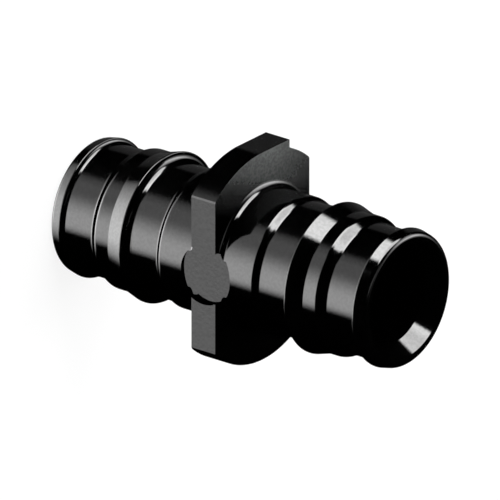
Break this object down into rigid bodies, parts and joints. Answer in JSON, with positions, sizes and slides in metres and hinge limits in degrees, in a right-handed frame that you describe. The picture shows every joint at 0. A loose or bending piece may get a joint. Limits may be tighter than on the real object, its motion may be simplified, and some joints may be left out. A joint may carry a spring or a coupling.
{
  "type": "pex coupling",
  "caption": "Moulded plastic coupling for cold-expansion tube: equal barbed spigots on a stop flange with flats and a tab, and a through bore.",
  "frame": {"origin": "centre of the stop flange on the bore's axis, which is also the centre of the whole piece", "axes": "+Z along the bore, +Y towards the flange's flat-topped tab, -X out of the flat with the round gate recess. The two spigots are equal, so +Z and -Z ends are the same."},
  "size_m": [0.0148, 0.021, 0.0376],
  "materials": {
    "black_plastic": "glossy black moulded engineering plastic"
  },
  "bodies": {
    "root": {"coupling": "black_plastic"}
  },
  "joints": []
}
